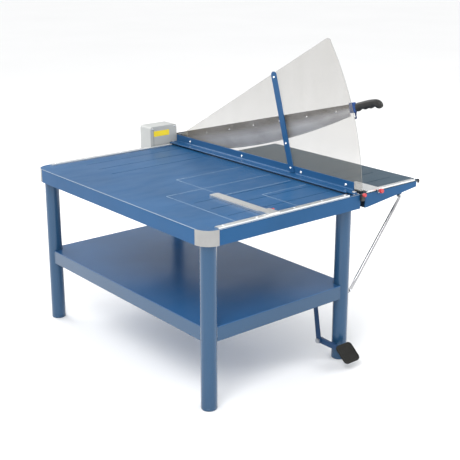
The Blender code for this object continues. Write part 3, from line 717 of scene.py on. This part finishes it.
# ------------------------------------------------------------------ clamp angle with a rolled inner corner
lo, hi = table_box("clamp_bar")
FOOT_T, ROLL_R, ANGLE_Y0 = 5, 5, 35
z0, face_x = lo.z, hi.x - FLANGE_T
roll_x, roll_z = face_x - ROLL_R, z0 + FOOT_T + ROLL_R
prof = [(lo.x + 0.8, z0), (hi.x, z0), (hi.x, hi.z - 1.2), (hi.x - 1.2, hi.z), (hi.x - 2.9, hi.z),
        (face_x, hi.z - 0.8)]
prof += [(roll_x + ROLL_R * cos(radians(a)), roll_z + ROLL_R * sin(radians(a))) for a in range(0, -91, -15)]
prof += [(lo.x + 1.6, z0 + FOOT_T), (lo.x, z0 + 3.4), (lo.x, z0 + 0.8)]
tongue = rounded_rect(712, 732, lo.y, ANGLE_Y0 + 1, 3, 5)
piece("clamp_angle", *prism("Y", prof, ANGLE_Y0, hi.y), "clamp", "clamp", ("clamp_bar",), bevel=0.35,
      segments=2, slot="blue_paint")
piece("clamp_tongue", *prism("Z", tongue, z0 + 0.3, z0 + FOOT_T), "clamp", "clamp", bevel=0.5, segments=2)

# ------------------------------------------------------------------ chrome strut with crimped ends
LOW_END, HIGH_END = Vector((756.0, 48.0, 266.0)), Vector((1043.0, 48.0, 616.0))
TUBE_R = 7.0
CRIMP_THIN, CRIMP_WIDE = 2.1, 9.6            # half the flattened end's thickness, and half its width
CRIMP_END, CRIMP_FADE = 26, 40               # where the flat stops, and how far the tube takes to round out
END_ROUND, BOLT_IN = 9, 8
RING = 32
axis = (HIGH_END - LOW_END).normalized()
across = Vector((0, 1, 0))
third = axis.cross(across).normalized()
length = (HIGH_END - LOW_END).length
near = [0, 3, 7, 12, 22, 30, 40, 54, 70]
steps = near + [length / 2] + [length - t for t in near[::-1]]
verts, faces = [], []
for t in steps:
    d = min(t, length - t)
    k = min(1.0, max(0.0, (d - CRIMP_END) / CRIMP_FADE)) ** 0.8
    flat = CRIMP_THIN + (TUBE_R - CRIMP_THIN) * k
    wide = CRIMP_WIDE + (TUBE_R - CRIMP_WIDE) * k
    if d < END_ROUND:
        wide *= sqrt(max(0.08, 1 - ((END_ROUND - d) / CRIMP_WIDE) ** 2))
    for i in range(RING):
        g = 2 * pi * i / RING
        verts.append(tuple(LOW_END + axis * t + across * (flat * cos(g)) + third * (wide * sin(g))))
for k in range(len(steps) - 1):
    for i in range(RING):
        j = (i + 1) % RING
        faces.append([k * RING + i, k * RING + j, (k + 1) * RING + j, (k + 1) * RING + i])
faces += [list(range(RING)), list(range((len(steps) - 1) * RING, len(steps) * RING))]
piece("strut_tube", verts, faces, "chrome", "base", ("support_strut",), angle=60, slot="chrome")
HEAD = [(0, 41.3), (4.2, 41.3), (5.4, 42.3), (5.4, 45.7), (0, 45.7)]
WASHER = [(0, 50.2), (7, 50.2), (7, 54.6), (0, 54.6)]
NUT = [(0, 59.1), (5.4, 59.1), (5.4, 62.6), (4.2, 63.4), (0, 63.4)]
bolts = []
for p in (LOW_END + axis * BOLT_IN, HIGH_END - axis * BOLT_IN):
    for profile, n in ((HEAD, 6), (WASHER, 32), (NUT, 6)):
        bolts.append(turned("Y", p.x, p.z, profile, n))
piece("strut_bolts", *merge(bolts), "zinc", "base", bevel=0.3, segments=1)

# ------------------------------------------------------------------ return springs, which ride on no body
TURNS, TURN_STEPS, WIRE_R, WIRE_SIDES = 4, 28, 0.8, 10


def spring(lo, hi):
    """A coil of round wire that fills a box, standing on Z."""
    centre, count = (lo + hi) / 2, TURNS * TURN_STEPS
    mean = (hi.x - lo.x) / 2 - WIRE_R
    verts, faces = [], []
    for k in range(count + 1):
        g = 2 * pi * k / TURN_STEPS
        z = lo.z + WIRE_R + (hi.z - lo.z - 2 * WIRE_R) * k / count
        for i in range(WIRE_SIDES):
            h = 2 * pi * i / WIRE_SIDES
            r = mean + WIRE_R * cos(h)
            verts.append((centre.x + r * cos(g), centre.y + r * sin(g), z + WIRE_R * sin(h)))
    for k in range(count):
        a, b = k * WIRE_SIDES, (k + 1) * WIRE_SIDES
        for i in range(WIRE_SIDES):
            j = (i + 1) % WIRE_SIDES
            faces.append([a + i, a + j, b + j, b + i])
    return verts, faces + [list(range(WIRE_SIDES)), list(range(count * WIRE_SIDES, len(verts)))]


for label in ("front", "rear"):
    node = "return_spring_" + label
    lo, hi = table_box(node)
    coil = piece("spring_coil_" + label, *spring(lo, hi), "steel", None, (node,), angle=60, slot="steel")
    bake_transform(coil)

# ------------------------------------------------------------------ small fixings
RAIL_SCREW_X = (90, 240, 420, 560, 680)
heads = [screw("Z", x, 16.5, table_box("front_rail")[1].z, 1, 3.4) for x in RAIL_SCREW_X]
heads += [screw("Z", x, 1159, table_box("rear_rail")[1].z, 1, 3.4) for x in RAIL_SCREW_X]
heads += [screw("Z", 1078, 11.5, table_box("side_rail")[1].z, 1, 3.0)]
heads += [screw("Y", 307, 689.2, 3.1, -1, 2.4)]
piece("table_screws", *merge(heads), "zinc", "base")

# ------------------------------------------------------------------ camera, floor and light
CAM_AT = (-2.3356, -2.8903, 1.633)
CAM_AZ, CAM_EL = radians(-39.47), radians(15.93)
LENS, SENSOR, SHIFT_Y = 72.286, 36, -0.07
aim = Vector((-sin(CAM_AZ) * cos(CAM_EL), cos(CAM_AZ) * cos(CAM_EL), -sin(CAM_EL)))
cam = bpy.data.cameras.new("camera")
cam.lens, cam.sensor_width = LENS, SENSOR
cam.shift_x, cam.shift_y = 0.0, SHIFT_Y
cam.clip_end = 60
cam_obj = bpy.data.objects.new("camera", cam)
cam_obj.location = CAM_AT
cam_obj.rotation_euler = aim.to_track_quat("-Z", "Y").to_euler()
bpy.context.scene.collection.objects.link(cam_obj)
bpy.context.scene.camera = cam_obj


def sheet(name, wide, tall, mat, z=0.0):
    """A flat sheet round its own centre, which isn't part of the object."""
    mesh = bpy.data.meshes.new(name)
    a, b = wide / 2, tall / 2
    mesh.from_pydata([(-a, -b, z), (a, -b, z), (a, b, z), (-a, b, z)], [], [(0, 1, 2, 3)])
    mesh.materials.append(mat)
    obj = bpy.data.objects.new(name, mesh)
    bpy.context.scene.collection.objects.link(obj)
    return obj


def face(obj, where, target):
    """Puts a light or a card somewhere, looking at a target."""
    obj.location = where
    obj.rotation_euler = (Vector(target) - Vector(where)).to_track_quat("-Z", "Y").to_euler()


def area(name, where, size, power, target=(0, 0, 0.5), tall=None):
    """A soft square light, or an upright strip if tall is given."""
    light = bpy.data.lights.new(name, "AREA")
    light.energy, light.size = power, size
    if tall:
        light.shape, light.size_y = "RECTANGLE", tall
    obj = bpy.data.objects.new(name, light)
    face(obj, where, target)
    bpy.context.scene.collection.objects.link(obj)


def card(name, where, wide, tall, target, mat="flag"):
    """A studio flag, seen only in reflections, which gives metal and gloss their contrast."""
    obj = sheet(name, wide, tall, M[mat])
    face(obj, where, target)
    obj.visible_camera = obj.visible_diffuse = obj.visible_shadow = obj.visible_transmission = False


FLOOR_SIZE, FLOOR_DROP = 60, 0.0005
floor_mat, floor_nodes, floor_shader = tree("pale_floor")
floor_tone = ramp(floor_nodes, noise(floor_nodes, 0.6), [(0.3, grey(0.86)), (0.7, grey(0.88))])
floor_nodes.links.new(floor_tone, floor_shader.inputs["Base Color"])
floor_shader.inputs["Roughness"].default_value = 0.7
sheet("floor", FLOOR_SIZE, FLOOR_SIZE, floor_mat, -FLOOR_DROP)

area("key", (-3.2, -2.2, 4.2), 2.4, 150)
area("fill", (3.4, -3.0, 2.6), 2.6, 60)
area("back", (-1.0, 4.2, 3.4), 3.0, 120)
area("strip_right", (3.3, 0.6, 0.75), 0.22, 22, (0, 0, 0.75), 1.5)
area("strip_left", (-0.3, 3.4, 0.75), 0.22, 18, (0, 0, 0.75), 1.5)

card("flag_front_right", (2.9, -2.3, 0.9), 0.5, 2.4, (0.2, -0.4, 0.9))
card("flag_behind", (1.9, 2.9, 1.75), 5.0, 1.5, (0.2, 0, 0.75), "flag_grey")
card("flag_left", (-3.1, -0.6, 1.0), 0.35, 2.4, (0.2, -0.4, 1.0))

world = bpy.data.worlds.new("world")
bpy.context.scene.world = world
world.use_nodes = True
background = world.node_tree.nodes["Background"]
background.inputs["Color"].default_value = (0.99, 0.995, 1.0, 1)
background.inputs["Strength"].default_value = 1.1
bpy.context.scene.view_settings.view_transform = "Standard"
